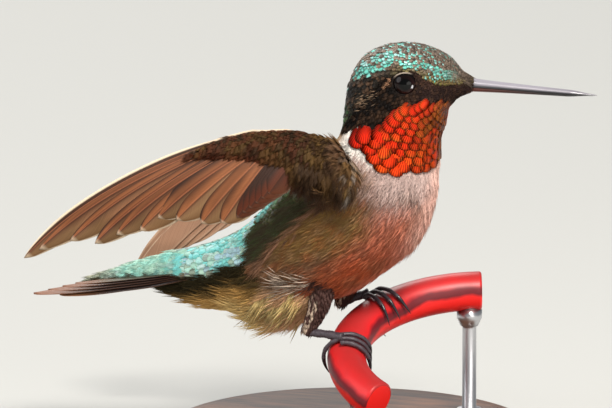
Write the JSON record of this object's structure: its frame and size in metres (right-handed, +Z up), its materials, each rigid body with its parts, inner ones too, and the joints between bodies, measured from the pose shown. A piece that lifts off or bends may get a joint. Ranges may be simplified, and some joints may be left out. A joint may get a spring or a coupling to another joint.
{
  "type": "ruby-throated hummingbird",
  "caption": "Life-size male ruby-throated hummingbird with half-raised wings, gripping a curved red tube on a small round display stand.",
  "frame": {"origin": "middle of the stand's underside, on the surface it stands on", "axes": "+X the way the trunk points, towards the bill; +Y the bird's left; +Z up"},
  "size_m": [0.0761, 0.05, 0.0579],
  "materials": {
    "crown": "iridescent bronze-green scale feathers, brown-black face",
    "gorget": "iridescent ruby to orange scale feathers",
    "collar": "soft white feathers",
    "breast": "soft grey-pink feathers",
    "back": "bronze-green feathers",
    "belly": "soft dusky brown feathers",
    "rump": "iridescent blue-green feathers",
    "vent": "loose buff down",
    "wing_covert": "dark olive covert feathers",
    "wing_feather": "thin brown vanes with pale edges",
    "tail_feather": "dark purplish brown vanes",
    "bill": "satin black horn",
    "eye": "wet black",
    "thigh": "short dusky and white down",
    "foot": "fine dark scales",
    "claw": "black horn",
    "perch": "glossy red",
    "base": "waxed dark wood",
    "rod": "satin"
  },
  "bodies": {
    "root": {"head": "crown", "gorget": "gorget", "neck": "collar", "breast": "breast", "back": "back", "belly": "belly", "rump": "rump", "vent": "vent", "uppertail_coverts": "rump", "undertail_coverts": "vent", "eye_right": "eye", "eye_left": "eye", "bill_upper": "bill", "bill_lower": "bill", "wing_right_arm": "wing_covert", "wing_right_primaries": "wing_feather", "wing_right_secondaries": "wing_feather", "wing_left_arm": "wing_covert", "wing_left_primaries": "wing_feather", "wing_left_secondaries": "wing_feather", "tail_right": "tail_feather", "tail_left": "tail_feather", "perch": "perch", "thigh_right": "thigh", "shank_right": "foot", "toe_right_outer": "foot", "claw_right_outer": "claw", "toe_right_middle": "foot", "claw_right_middle": "claw", "toe_right_inner": "foot", "claw_right_inner": "claw", "toe_right_hind": "foot", "claw_right_hind": "claw", "thigh_left": "thigh", "shank_left": "foot", "toe_left_outer": "foot", "claw_left_outer": "claw", "toe_left_middle": "foot", "claw_left_middle": "claw", "toe_left_inner": "foot", "claw_left_inner": "claw", "toe_left_hind": "foot", "claw_left_hind": "claw", "stand_base": "base", "stand_rod_front": "rod", "stand_rod_rear": "rod"}
  },
  "joints": []
}
